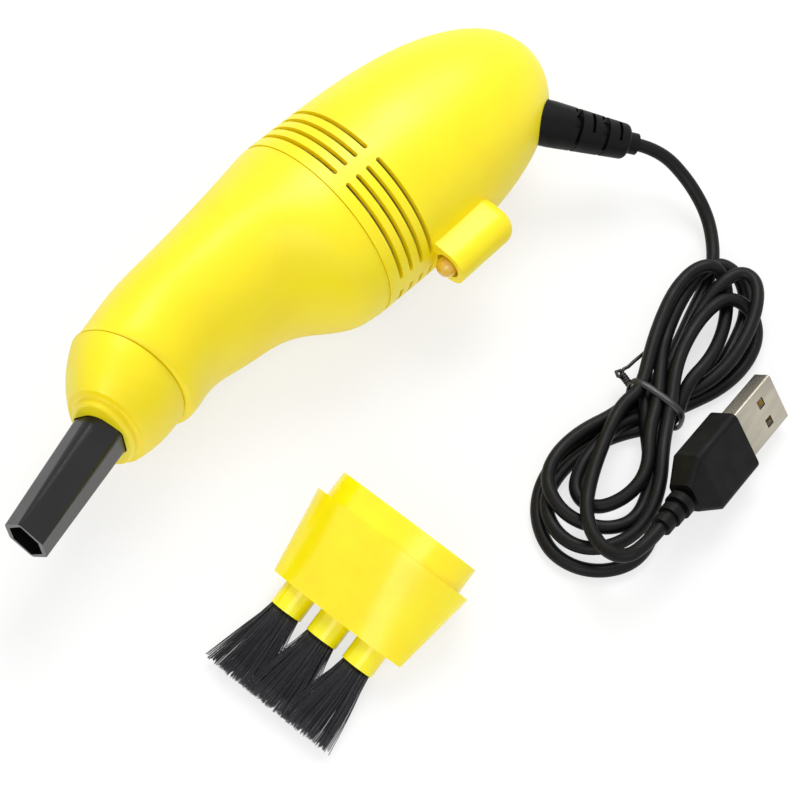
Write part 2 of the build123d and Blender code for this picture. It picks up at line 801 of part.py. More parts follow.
# ---------------------------------------------------------------- lamp and switch
lamp_tip = hood_place - lamp_reach
lamp_rear = lamp_tip + lamp_length
lamp_radius = lamp_diameter / 2
with BuildPart() as lamp:
    with BuildSketch(Plane(origin=place(lamp_tip, lamp_shift), x_dir=(1, 0, 0), z_dir=(0, -1, 0))):
        with BuildLine():
            dome = CenterArc((lamp_radius, 0), lamp_radius, 90, 90)
            Polyline(
                dome @ 0,
                (lamp_length - lamp_rim_length, lamp_radius),
                (lamp_length - lamp_rim_length, lamp_radius + lamp_rim),
                (lamp_length, lamp_radius + lamp_rim),
                (lamp_length, 0),
                dome @ 1,
            )
        make_face()
    revolve(axis=Axis(place(lamp_tip, lamp_shift), (1, 0, 0)))
save(lamp.part, "lamp")

lead_rise = lead_pitch / 2
resistor_end = resistor_place + resistor_length

def lead_path(rise):
    """Route of a lamp lead from the lamp's rear into the body."""
    return [
        place(lamp_rear, lamp_shift, rise),
        place(lead_way_place, lamp_shift, rise),
        place(lead_way_place, resistor_shift, rise),
        place(resistor_place, resistor_shift, rise),
    ]

upper_lead = bent_tube("upper lamp lead", lead_path(lead_rise), lead_diameter)
lower_lead = bent_tube("lower lamp lead", lead_path(-lead_rise), lead_diameter)
with BuildPart() as lamp_leads:
    add(upper_lead)
    add(lower_lead)
save(lamp_leads.part, "lamp_leads")

with BuildPart() as resistor:
    with BuildSketch(Plane(origin=place(resistor_place, resistor_shift, lead_rise), z_dir=(1, 0, 0))):
        Circle(resistor_diameter / 2)
    extrude(amount=resistor_length)
    fillet(resistor.faces().filter_by(Axis.X).edges(), resistor_diameter / 5)
save(resistor.part, "resistor")

with BuildPart() as switch_body:
    with BuildSketch(switch_plane):
        Rectangle(switch_length, switch_width)
    extrude(amount=-switch_height)
save(switch_body.part, "switch_body")

knob_place = switch_place + knob_travel / 2
knob_top = body_axis(knob_place) + tail_radius(knob_place) + knob_rise
knob_bottom = switch_top + foot_slip
knob_plane = Plane(origin=place(knob_place, knob_bottom), x_dir=(1, 0, 0), z_dir=(0, 1, 0))
with BuildPart() as switch_knob:
    with BuildSketch(knob_plane):
        Rectangle(knob_length + 2 * knob_flange, 2 * knob_half_width)
    extrude(amount=knob_foot)
    with BuildSketch(knob_plane.offset(knob_foot)):
        SlotOverall(knob_length, knob_width)
    extrude(amount=knob_top - knob_bottom - knob_foot)
save(switch_knob.part, "switch_knob")

# ---------------------------------------------------------------- tail
with BuildPart() as anchor_block:
    add(tail_dome(wall + anchor_gap))
    split(bisect_by=Plane.YZ.offset(joint_x + anchor_front), keep=Keep.TOP)
    split(bisect_by=Plane.YZ.offset(joint_x + anchor_rear), keep=Keep.BOTTOM)
    with BuildSketch(tail_plane(anchor_front, body_axis(anchor_front))):
        Circle(anchor_bore)
    extrude(amount=anchor_rear - anchor_front, mode=Mode.SUBTRACT)
    for plane in screw_planes:
        start = along(plane, out=overrun)
        socket_depth = boss_depth + overrun + anchor_gap
        add(rod(start, -plane.z_dir, boss_radius + anchor_gap, socket_depth), mode=Mode.SUBTRACT)
        add(rod(start, -plane.z_dir, shank_hole, 2 * screw_length), mode=Mode.SUBTRACT)
    pocket = along(relief_plane, out=-relief_root - anchor_gap)
    pocket_depth = relief_flange_thick + 2 * anchor_gap
    add(rod(pocket, relief_way, relief_flange / 2 + anchor_gap, pocket_depth), mode=Mode.SUBTRACT)
    add(rod(pocket, relief_way, relief_diameter / 2 + anchor_gap, 2 * relief_root), mode=Mode.SUBTRACT)
    add(rod(pocket, -relief_way, anchor_way, anchor_way_length), mode=Mode.SUBTRACT)
save(anchor_block.part, "anchor_block")

with BuildPart() as tail_screws:
    for plane in screw_planes:
        head_top = Plane(origin=along(plane, out=screw_head_length - screw_recess), z_dir=-plane.z_dir)
        with BuildSketch(head_top):
            Circle(screw_head / 2)
        extrude(amount=screw_head_length)
        with BuildSketch(head_top):
            Rectangle(screw_head * 0.6, screw_slot)
            Rectangle(screw_slot, screw_head * 0.6)
        extrude(amount=screw_head_length / 2, mode=Mode.SUBTRACT)
        add(rod(along(plane, out=-screw_recess), -plane.z_dir, screw_shank / 2, screw_length))
save(tail_screws.part, "tail_screws")

window_middle = (relief_core + relief_diameter) / 2
with BuildPart() as strain_relief:
    with BuildSketch(relief_plane):
        Circle(relief_diameter / 2)
    with BuildSketch(relief_plane.offset(relief_length)):
        Circle(relief_end_diameter / 2)
    loft()
    fillet(strain_relief.faces().sort_by(Axis(relief_plane.origin, relief_way))[-1].edges(), relief_round)
    for place_along, length in relief_windows:
        with BuildSketch(relief_plane.offset(place_along - length / 2)):
            Rectangle(relief_window_height, 2 * relief_diameter)
            Circle(relief_core / 2, mode=Mode.SUBTRACT)
        extrude(amount=length, mode=Mode.SUBTRACT)
    for place_along in relief_grooves:
        with BuildSketch(relief_plane.offset(place_along - relief_groove / 2)):
            Circle(relief_diameter)
            Circle(relief_end_diameter / 2 - relief_groove, mode=Mode.SUBTRACT)
        extrude(amount=relief_groove, mode=Mode.SUBTRACT)
    relief_inner = along(relief_plane, out=-relief_root)
    add(rod(relief_inner, relief_way, relief_diameter / 2, relief_root))
    add(rod(relief_inner, relief_way, relief_flange / 2, relief_flange_thick))
    collar_start = along(relief_plane, out=relief_length - relief_round)
    add(rod(collar_start, relief_way, relief_collar_diameter / 2, relief_round + relief_collar_length))
save(strain_relief.part, "strain_relief")

# ---------------------------------------------------------------- inner wires
# Two wires come from the strain relief: supply goes by the switch to the motor, the other
# straight back.  The lamp's pair runs from the resistor and the bare lead to the motor.
terminal_side = terminal_thick / 2 + solder_gap
far_terminal = motor_end + terminal_reach * 0.75
near_terminal = motor_end + terminal_reach * 0.4
behind_motor = motor_end + terminal_reach + wire_room
switch_side = switch_width / 2 + touch
switch_middle = switch_top - switch_height / 2
switch_wire = switch_place + switch_length / 5

def relief_wire(right):
    """First two points of a wire that leaves the strain relief's inner end."""
    return [
        along(relief_plane, right=right, out=-relief_root - touch),
        along(relief_plane, right=right, out=-relief_root - wire_start),
    ]

supply_wire = bent_tube("supply wire", relief_wire(wire_spread) + [
    place(behind_motor, 2.1, -4.0),
    place(behind_motor - 2.4, 11.1, -7.6),
    place(switch_wire, switch_middle, -switch_side - 4.2),
    place(switch_wire, switch_middle, -switch_side),
], wire_diameter)
save(supply_wire, "supply_wire")

motor_wire = bent_tube("motor wire", [
    place(switch_wire, switch_middle, switch_side),
    place(switch_wire, switch_middle, switch_side + 4.2),
    place(far_terminal, 8.6, 9.0),
    place(far_terminal, rotor_shift + terminal_side, terminal_place),
], wire_diameter)
save(motor_wire, "motor_wire")

return_wire = bent_tube("return wire", relief_wire(-wire_spread) + [
    place(behind_motor - 0.6, -5.6, -3.6),
    place(far_terminal, rotor_shift - terminal_side, -terminal_place),
], wire_diameter)
save(return_wire, "return_wire")

lamp_feed_wire = bent_tube("lamp feed wire", [
    place(resistor_end + slip, resistor_shift, lead_rise),
    place(41.5, -17.2, 3.0),
    place(behind_motor - 2.0, -10.0, 6.6),
    place(far_terminal, rotor_shift - terminal_side, terminal_place),
], wire_diameter)
save(lamp_feed_wire, "lamp_feed_wire")

lamp_return_wire = bent_tube("lamp return wire", [
    place(resistor_place, resistor_shift, -lead_rise),
    place(40.5, -17.2, -3.0),
    place(behind_motor - 2.4, -11.0, -7.0),
    place(near_terminal, rotor_shift - terminal_side, -terminal_place),
], wire_diameter)
save(lamp_return_wire, "lamp_return_wire")

# ---------------------------------------------------------------- plug
yaw, pitch, roll = radians(plug_yaw), radians(plug_pitch), radians(plug_roll)
plug_way = Vector(cos(pitch) * cos(yaw), cos(pitch) * sin(yaw), -sin(pitch))
plug_level = Vector(-sin(yaw), cos(yaw), 0)
plug_rise = Vector(sin(pitch) * cos(yaw), sin(pitch) * sin(yaw), cos(pitch))
plug_across = plug_level * cos(roll) + plug_rise * sin(roll)
plug_plane = Plane(origin=plug_place, x_dir=plug_across, z_dir=plug_way)
grip_rear = grip_start + grip_length
taper_rear = grip_rear + grip_taper
plug_rear = taper_rear + tail_ribs * tail_rib_pitch

with BuildPart() as plug_grip:
    with BuildSketch(plug_plane.offset(-grip_rear)):
        RectangleRounded(grip_width, grip_height, grip_round)
    extrude(amount=grip_length)
    fillet(plug_grip.faces().sort_by(Axis(plug_plane.origin, plug_way))[-1].edges(), grip_round / 4)
    with BuildSketch(plug_plane.offset(-grip_rear)):
        RectangleRounded(grip_width, grip_height, grip_round)
    with BuildSketch(plug_plane.offset(-taper_rear)):
        RectangleRounded(grip_tail_width, grip_tail_height, grip_round)
    loft()
    add(rod(along(plug_plane, out=-taper_rear), -plug_way, tail_core_diameter / 2, plug_rear - taper_rear))
    for rib in range(tail_ribs):
        rib_front = taper_rear + (rib + 1) * tail_rib_pitch - tail_rib_length
        rib_diameter = tail_diameter + (tail_end_diameter - tail_diameter) * rib / (tail_ribs - 1)
        add(rod(along(plug_plane, out=-rib_front), -plug_way, rib_diameter / 2, tail_rib_length))
    with BuildSketch(plug_plane.offset(-plug_shell_root)):
        Rectangle(plug_shell_width + 2 * touch, plug_shell_height + 2 * touch)
    extrude(amount=plug_shell_root, mode=Mode.SUBTRACT)
save(plug_grip.part, "plug_grip")

inner_width = plug_shell_width - 2 * plug_shell_wall
inner_height = plug_shell_height - 2 * plug_shell_wall
with BuildPart() as plug_shell:
    with BuildSketch(plug_plane.offset(-plug_shell_root)):
        RectangleRounded(plug_shell_width, plug_shell_height, plug_shell_round)
        RectangleRounded(inner_width, inner_height, plug_shell_round - plug_shell_wall, mode=Mode.SUBTRACT)
    extrude(amount=plug_shell_root + plug_shell_length)
    above_window = along(plug_plane, up=plug_shell_height, out=plug_window_place)
    with BuildSketch(Plane(origin=above_window, x_dir=plug_across, z_dir=-plug_plane.y_dir)):
        with Locations((-plug_window_spacing / 2, 0), (plug_window_spacing / 2, 0)):
            Rectangle(plug_window, plug_window)
    extrude(amount=2 * plug_shell_height, mode=Mode.SUBTRACT)
save(plug_shell.part, "plug_shell")

tongue_level = -inner_height / 2 + touch + tongue_thick / 2
with BuildPart() as plug_tongue:
    with BuildSketch(plug_plane.offset(-plug_shell_root)):
        with Locations((0, tongue_level)):
            Rectangle(tongue_width, tongue_thick)
    extrude(amount=plug_shell_root + tongue_length)
save(plug_tongue.part, "plug_tongue")

with BuildPart() as plug_contacts:
    with BuildSketch(plug_plane.offset(tongue_length - contact_end - contact_length)):
        with Locations((0, tongue_level + (tongue_thick + contact_thick) / 2)):
            with GridLocations(contact_pitch, 0, 4, 1):
                Rectangle(contact_width, contact_thick)
    extrude(amount=contact_length)
save(plug_contacts.part, "plug_contacts")

# ---------------------------------------------------------------- cord and twist tie
relief_end = relief_length + relief_collar_length
cord_lead = bent_tube("cord lead", [
    along(relief_plane, out=relief_end),
    along(relief_plane, out=relief_end + lead_start),
] + lead_points, cord_diameter)
save(cord_lead, "cord_lead")

cord_tail = bent_tube("cord tail", [
    along(plug_plane, out=-plug_rear),
    along(plug_plane, out=-plug_rear - tail_start),
] + tail_points, cord_diameter)
save(cord_tail, "cord_tail")

tie_plane = Plane(
    origin=(tie_x, tie_y, hank_height / 2),
    x_dir=(-sin(radians(tie_turn)), cos(radians(tie_turn)), 0),
    z_dir=(cos(radians(tie_turn)), sin(radians(tie_turn)), 0),
)
tie_inner_width = 2 * tie_half_width
tie_inner_height = hank_height - 2 * tie_thick
with BuildPart() as cord_hank:
    with BuildSketch():
        with BuildLine():
            Spline(hank_outline, periodic=True)
        make_face()
    extrude(amount=hank_height)
    levels = cord_hank.edges().group_by(Axis.Z)
    fillet(levels[0] + levels[-1], hank_round)
    with BuildSketch(tie_plane):
        Rectangle(2 * tie_inner_width, 2 * hank_height)
        RectangleRounded(tie_inner_width, tie_inner_height, hank_round, mode=Mode.SUBTRACT)
    extrude(amount=tie_band / 2 + touch, both=True, mode=Mode.SUBTRACT)
save(cord_hank.part, "cord_hank")

# The tie's twisted ends stand out from the band and turn along the hank.
tie_side = tie_y + tie_half_width + tie_thick / 2
tie_end_out = radians(tie_end_turn)
tie_end_path = [
    (tie_x, tie_side),
    (tie_x, tie_end_y),
    (tie_x + tie_end_length * cos(tie_end_out), tie_end_y + tie_end_length * sin(tie_end_out)),
]
with BuildPart() as twist_tie:
    with BuildSketch(tie_plane):
        RectangleRounded(tie_inner_width + 2 * tie_thick, hank_height, hank_round + tie_thick)
        RectangleRounded(
            tie_inner_width + 2 * touch, tie_inner_height + 2 * touch, hank_round, mode=Mode.SUBTRACT
        )
    extrude(amount=tie_band / 2, both=True)
    with BuildSketch(Plane.XY.offset((hank_height - tie_end_width) / 2)):
        with BuildLine():
            end_line = FilletPolyline(*tie_end_path, radius=tie_end_width / 2)
        trace(end_line, line_width=tie_end_thick)
    extrude(amount=tie_end_width)
save(twist_tie.part, "twist_tie")

# ---------------------------------------------------------------- brush head
# Its underside lies flat on the floor, so the head leans towards its bristles.
brush_lean = atan((brush_half_height - brush_end_half_height) / brush_length)
brush_z = brush_half_height * cos(brush_lean) + brush_neck_length * sin(brush_lean)
brush_plane = Plane(
    origin=(brush_x, brush_y, brush_z),
    x_dir=(sin(radians(brush_turn)), -cos(radians(brush_turn)), 0),
    z_dir=(
        -cos(brush_lean) * cos(radians(brush_turn)),
        -cos(brush_lean) * sin(radians(brush_turn)),
        -sin(brush_lean),
    ),
)
print("brush head faces", brush_plane.z_dir, "from height", round(brush_z, 3))
brush_front = brush_neck_length + brush_length
tube_front = brush_front + brush_tube_length
tube_places = [((i - (brush_tubes - 1) / 2) * brush_tube_pitch, 0) for i in range(brush_tubes)]

def brush_loft(start, end, inset):
    """Body of the brush head between two places, set in by a wall."""
    with BuildPart() as body:
        for distance in (start, end):
            share = (distance - brush_neck_length) / brush_length
            half_width = brush_half_width + (brush_end_half_width - brush_half_width) * share
            half_height = brush_half_height + (brush_end_half_height - brush_half_height) * share
            with BuildSketch(brush_plane.offset(distance)):
                Ellipse(half_width - inset, half_height - inset)
        loft()
    return body.part

with BuildPart() as brush_head:
    add(brush_loft(brush_neck_length, brush_front, 0))
    with BuildSketch(brush_plane):
        Ellipse(spigot_half_height, spigot_half_width)
    extrude(amount=brush_neck_length)
    with BuildSketch(brush_plane):
        Ellipse(spigot_half_height - spigot_wall, spigot_half_width - spigot_wall)
    extrude(amount=brush_neck_length + wall, mode=Mode.SUBTRACT)
    add(brush_loft(brush_neck_length + wall, brush_front - brush_face, wall), mode=Mode.SUBTRACT)
    with BuildSketch(brush_plane.offset(brush_front - brush_face)):
        with Locations(*tube_places):
            Circle(brush_tube_diameter / 2)
    extrude(amount=brush_face + brush_tube_length)
    with BuildSketch(brush_plane.offset(tube_front)):
        with Locations(*tube_places):
            Circle(brush_tube_bore / 2)
    extrude(amount=-tuft_root - touch, mode=Mode.SUBTRACT)
save(brush_head.part, "brush_head")

tuft_radius = brush_tube_bore / 2 - touch

def tuft_lift(distance, half_height):
    """How far the tuft lies above the brush's axis so that it clears the floor."""
    floor = (tuft_clear - brush_z + distance * sin(brush_lean)) / cos(brush_lean)
    return max(0.0, floor + half_height)

def bristle_tuft(shift):
    """One tuft: round in its tube, fanned out and lifted off the floor at its tips."""
    middle = tube_front + tuft_length / 2
    tip = tube_front + tuft_length
    middle_half_width = (tuft_radius + tuft_half_width) / 2
    middle_half_height = (tuft_radius + tuft_half_height) / 2
    with BuildPart() as tuft:
        with BuildSketch(brush_plane.offset(tube_front - tuft_root)):
            with Locations((shift, 0)):
                Circle(tuft_radius)
        extrude(amount=tuft_root)
        with BuildSketch(brush_plane.offset(tube_front)):
            with Locations((shift, 0)):
                Circle(tuft_radius)
        with BuildSketch(brush_plane.offset(middle)):
            with Locations((shift, tuft_lift(middle, middle_half_height))):
                Ellipse(middle_half_width, middle_half_height)
        with BuildSketch(brush_plane.offset(tip)):
            with Locations((shift, tuft_lift(tip, tuft_half_height))):
                Ellipse(tuft_half_width, tuft_half_height)
        loft()
    return tuft.part

for number, (shift, level) in enumerate(tube_places, start=1):
    save(bristle_tuft(shift), f"bristle_tuft_{number}")
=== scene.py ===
# %% [markdown]
# # A desk vacuum cleaner with its brush head and cord
# The rigid pieces come finished from CAD, in metres, and keep their place and
# shape. This lesson gives them their finishes, and builds what CAD draws only
# as plain solids: the coiled cord, the twist tie and the bristles.

import math
import random

import bmesh
import bpy
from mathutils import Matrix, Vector


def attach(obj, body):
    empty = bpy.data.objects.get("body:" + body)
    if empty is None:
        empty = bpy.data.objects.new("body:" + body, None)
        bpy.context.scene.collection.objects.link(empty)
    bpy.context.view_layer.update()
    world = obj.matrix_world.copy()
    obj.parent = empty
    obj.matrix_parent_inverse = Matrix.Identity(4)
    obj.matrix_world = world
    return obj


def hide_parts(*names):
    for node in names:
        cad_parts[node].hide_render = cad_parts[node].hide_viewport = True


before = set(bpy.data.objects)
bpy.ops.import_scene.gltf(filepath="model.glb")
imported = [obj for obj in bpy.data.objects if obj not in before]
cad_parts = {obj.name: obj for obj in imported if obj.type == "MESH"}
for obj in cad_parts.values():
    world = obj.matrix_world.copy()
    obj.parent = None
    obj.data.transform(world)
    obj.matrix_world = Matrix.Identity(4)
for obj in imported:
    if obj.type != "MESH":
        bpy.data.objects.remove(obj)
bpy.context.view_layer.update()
MM = 0.001


def mm(*numbers):
    """A point or a direction written in millimetres."""
    return Vector(numbers) * MM


print("CAD pieces:", len(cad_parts))

# %% [markdown]
# ## Camera
# A small product on a table is looked at from above, through a long lens from
# about half a metre. A long lens keeps the near end from looking too big.

# %% Camera
camera_place = mm(-149.41, -154.79, 405.27)
camera_target = mm(5.6, -5.1, 0)
camera_data = bpy.data.cameras.new("studio_camera")
camera_data.lens = 89.7
camera_data.sensor_width = 36
camera_data.clip_start = 0.01
camera = bpy.data.objects.new("studio_camera", camera_data)
camera.location = camera_place
camera.rotation_euler = (camera_target - camera_place).to_track_quat("-Z", "Y").to_euler()
bpy.context.scene.collection.objects.link(camera)
bpy.context.scene.camera = camera
print("camera stands", round((camera_target - camera_place).length, 3), "m away")

# %% [markdown]
# ## The cord's route
# The cord is one length of soft PVC lead, 3.2 mm thick. It leaves the strain
# relief, falls to the table, runs four times through its tie in a figure
# of eight, and ends in its plug. One NURBS spline follows it: its control points
# pull the line into smooth arcs, as a springy jacket makes them. Turns that
# are tied only at the waist fan out at both ends, so each turn has its own
# points. They are listed loop by loop, (x, y, z) in millimetres.

# %% The cord's route
cord_diameter = 3.2
lead = [
    (88.1, -3.4, 15.6), (92.1, -7.8, 13.5), (93.3, -16.2, 8.5), (91.4, -24.4, 4.7),
    (86.4, -31, 3), (80.4, -35.6, 2.7), (71, -38.4, 1.6), (60.9, -42, 1.7),
    (51.2, -44.9, 3.3), (42.8, -45.9, 6),
]
outer_loop = [
    (34.2, -55.2, 3.4), (26.9, -63.9, 1.6), (19, -70, 1.7), (11.5, -71, 1.7),
    (5, -67.4, 1.7), (1.2, -61.5, 1.7), (0.8, -54.5, 1.7), (5.5, -46.9, 1.6),
    (13.5, -42.3, 1.6), (24.1, -41.7, 1.7), (34.2, -44.8, 1.6), (43.1, -47.6, 2.2),
]
middle_far_loop = [
    (52.1, -53.5, 4.2), (61, -55.3, 5.9), (70.6, -53.6, 7.3), (78.5, -50.1, 8.2),
    (83, -45.8, 8), (82.4, -41.8, 8.2), (76.9, -40.3, 7.9), (68.7, -41, 5.5),
    (58.2, -44.5, 4.9), (50.3, -47.7, 5.1), (43.7, -50.2, 5.1),
]
high_loop = [
    (35.6, -56.1, 5.7), (26.6, -62.3, 5.4), (18.1, -65.5, 5.3), (11.4, -62, 5.7),
    (7.5, -54.2, 6.5), (9.3, -46.4, 7.4), (15.2, -42.4, 7.3), (25, -42, 6.6),
    (35.6, -44.8, 5.1), (43.7, -43.8, 2.3),
]
long_far_loop = [
    (52.1, -52.4, 1.6), (60.2, -53.5, 1.9), (69, -51.6, 1.8), (77, -48.8, 2),
    (81.8, -44.5, 3), (83.5, -40, 4.5), (82.1, -35.5, 5.4), (76.5, -34.2, 4.9),
    (67.2, -36, 5), (56.2, -40.5, 5.9), (48.5, -45.9, 7.5), (42.8, -50.1, 7.6),
]
inner_loop = [
    (35.7, -53.5, 8.2), (27.8, -60.2, 8.1), (20, -60.6, 6.9), (13.5, -57, 5.4),
    (13.5, -50.8, 4.9), (20, -47.4, 5.1), (28, -46.6, 5.2), (35.8, -46.9, 4.1),
    (43.1, -51.5, 2.2),
]
wide_far_loop = [
    (50.4, -54.1, 1.6), (58.3, -56.8, 1.8), (66.5, -57.2, 2.2), (73.6, -55, 3.2),
    (77.6, -49.9, 4.8), (76.4, -45.1, 7), (72, -43, 8.2), (63.4, -43.4, 8.1),
    (53.1, -46.7, 8.1), (43.7, -53.2, 7.4),
]
lower_loop = [
    (35.4, -57.9, 8.2), (26.6, -64.7, 8.1), (17.5, -68, 7.1), (9.6, -66.2, 6.1),
    (4.2, -60.8, 5.3), (3.8, -53.5, 4.7), (8, -47.1, 4.2), (16, -44.7, 3.4),
    (25.8, -45.1, 2.2), (34.8, -48.3, 1.6), (43.1, -55.5, 3.2),
]
last_far_loop = [
    (50.8, -51.7, 7.2), (60, -51.5, 7.1), (69, -48.2, 5.1), (76, -43.7, 3.8),
    (79.9, -39.3, 5.4), (79.2, -35.7, 8.3), (75, -33.4, 8.1), (68, -33.8, 8),
    (60, -36.5, 8.1), (52.1, -40.1, 8), (42.8, -45.3, 7.4),
]
plug_end = [
    (36.5, -44.7, 7.9), (27.5, -47.7, 8.1), (18, -51.8, 7.7), (10, -57, 8.8),
    (5.4, -64.5, 11.2), (5.8, -71, 13.5), (10.8, -72.8, 14.8), (17.1, -72.1, 13.9),
]
route = (
    lead + outer_loop + middle_far_loop + high_loop + long_far_loop + inner_loop
    + wide_far_loop + lower_loop + last_far_loop + plug_end
)
print("cord route:", len(route), "control points")

# %% The cord
# The jacket's radius is set at each point, and the bevel's depth of 1 keeps it.
cord_radius = cord_diameter / 2
cord_curve = bpy.data.curves.new("power_cord", "CURVE")
cord_curve.dimensions = "3D"
cord_line = cord_curve.splines.new("NURBS")
cord_line.points.add(len(route) - 1)
for point, place in zip(cord_line.points, route):
    point.co = (*mm(*place), 1)
    point.radius = cord_radius * MM
cord_line.order_u = 3
cord_line.use_endpoint_u = True
cord_line.resolution_u = 8
cord_curve.bevel_depth = 1.0
cord_curve.bevel_resolution = 5
cord = bpy.data.objects.new("power_cord", cord_curve)
bpy.context.scene.collection.objects.link(cord)
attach(cord, "body")
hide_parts("cord_lead", "cord_hank", "cord_tail")
print("cord made")

# %% [markdown]
# ## Tubes along a path
# The tie and the bristles are both thin things that follow a line. One helper
# sweeps a ring of points along a path. The ring may be flat, for a ribbon, and
# may shrink towards the end, for a bristle.

# %% Sweep helper
def sweep(mesh, path, wide, thick, across, sides=10, tip=1.0, closed=False):
    """Adds a tube with half sizes wide and thick; across is its wide direction."""
    rings = []
    last = len(path) - 1
    for i, point in enumerate(path):
        ahead = path[(i + 1) % len(path)] if closed else path[min(i + 1, last)]
        behind = path[i - 1] if closed or i else path[0]
        way = (ahead - behind).normalized()
        side = (across - way * across.dot(way)).normalized()
        up = way.cross(side)
        size = 1 + (tip - 1) * i / last
        ring = []
        for k in range(sides):
            turn = math.tau * k / sides
            reach = side * (wide * math.cos(turn)) + up * (thick * math.sin(turn))
            ring.append(mesh.verts.new(point + reach * size))
        rings.append(ring)
    for ring, after in zip(rings, rings[1:] + (rings[:1] if closed else [])):
        for k in range(sides):
            n = (k + 1) % sides
            mesh.faces.new((ring[k], ring[n], after[n], after[k]))
    if not closed:
        mesh.faces.new(rings[0][::-1])
        mesh.faces.new(rings[-1])


def piece_from(mesh, name, body, *replaced):
    """Turns the swept mesh into a smooth piece that rides on a body."""
    bmesh.ops.recalc_face_normals(mesh, faces=mesh.faces)
    data = bpy.data.meshes.new(name)
    mesh.to_mesh(data)
    mesh.free()
    data.shade_smooth()
    piece = bpy.data.objects.new(name, data)
    bpy.context.scene.collection.objects.link(piece)
    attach(piece, body)
    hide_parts(*replaced)
    print(name, "has", len(data.polygons), "faces")
    return piece


# %% [markdown]
# ## Twist tie
# A twist tie is a thin steel wire in a plastic ribbon. It is wrapped once
# round the hank's waist, its two ends are twisted round each other, and one
# end is left standing out. The band is one closed sweep, the twist two
# helices, and the two free ends short sweeps of their own.

# %% Twist tie
tie_centre = mm(43.2, -49.4, 4.9)
tie_turn = math.radians(4)
tie_along = Vector((math.cos(tie_turn), math.sin(tie_turn), 0))
tie_across = Vector((-math.sin(tie_turn), math.cos(tie_turn), 0))
tie_half_width = 7.3
tie_half_height = 4.35
tie_squareness = 0.62
tie_lean = 0.5
ribbon_half_width = 0.95
ribbon_half_thickness = 0.48
band_points = 48
twist_lift = 0.6
twist_reach = 3.0
twist_drift = 1.0
twist_turns = 2.5
twist_points = 30
twist_swing = 0.5
strand_half_width = 0.5
strand_half_thickness = 0.42
upright = Vector((0, 0, 1))


def tie_point(angle):
    """A point on the band's rounded rectangle."""
    c, s = math.cos(angle), math.sin(angle)
    out = math.copysign(abs(c) ** tie_squareness, c) * tie_half_width * MM
    rise = math.copysign(abs(s) ** tie_squareness, s) * tie_half_height * MM
    lean = tie_along * (tie_lean * MM * math.sin(angle))
    return tie_centre + tie_across * out + Vector((0, 0, rise)) + lean


def add_strand(path):
    """Sweeps the ribbon, squeezed narrow, along a path in the tie's mesh."""
    sweep(tie_mesh, path, strand_half_width * MM, strand_half_thickness * MM, upright)


band = [tie_point(math.tau * i / band_points) for i in range(band_points)]
tie_mesh = bmesh.new()
sweep(
    tie_mesh, band, ribbon_half_width * MM, ribbon_half_thickness * MM, tie_along,
    sides=12, closed=True,
)
twist_start = tie_centre + tie_across * (tie_half_width * MM) + mm(0, 0, twist_lift)
twist_end = twist_start + tie_across * (twist_reach * MM) + tie_along * (twist_drift * MM)
for half_turn in (0, math.pi):
    strand = []
    for i in range(twist_points + 1):
        share = i / twist_points
        angle = half_turn + math.tau * twist_turns * share
        swing = tie_along * math.cos(angle) + Vector((0, 0, math.sin(angle)))
        strand.append(twist_start.lerp(twist_end, share) + swing * (twist_swing * MM))
    add_strand(strand)
hook = [
    twist_end + mm(*step)
    for step in ((0, 0, 0.4), (1.0, 0.5, 0.6), (2.4, 0.2, 0.3), (4.5, 0.2, 0.2), (8.6, -0.2, 0.6))
]
add_strand(hook)
loop_back = [
    twist_end + mm(*step)
    for step in ((0, 0, 0), (0.3, 0.9, 0.5), (-0.9, 1.1, 1.0), (-1.5, 0.1, 1.2), (-0.9, -0.9, 0.8))
]
add_strand(loop_back)
tie = piece_from(tie_mesh, "tie_ribbon", "body", "twist_tie")

# %% The cord's length
# Its length is what lies between the strain relief and the plug.
print("cord runs from strain relief to plug")

# %% [markdown]
# ## Bristles
# Each of the brush's three tubes holds a bundle of nylon filaments, folded in
# half and pressed in. They start as a round bundle and fan out into a flat one.
# Every filament is modelled, a little thicker than the real 0.15 mm so that it
# shows, with its own length and lean, drawn from one seeded generator.

# %% Brush frame
brush_origin = mm(-19.8, -32.4, 14.624)
brush_way = Vector((-0.942278, -0.075814, -0.326136))
brush_side = Vector((0.0802, -0.99678, 0))
brush_up = brush_way.cross(brush_side)
tube_front = 31.5
tube_pitch = 9.95
bundle_radius = 2.95
bristle_length = 18.0
bristle_root = 3.0
fan_half_width = 7.3
fan_half_height = 2.2
middle_lift = 1.2
tip_lift = 3.8


def brush_point(out, side, up):
    """A place in the brush's own frame, in millimetres."""
    offset = brush_way * out + brush_side * side + brush_up * up
    return brush_origin + offset * MM


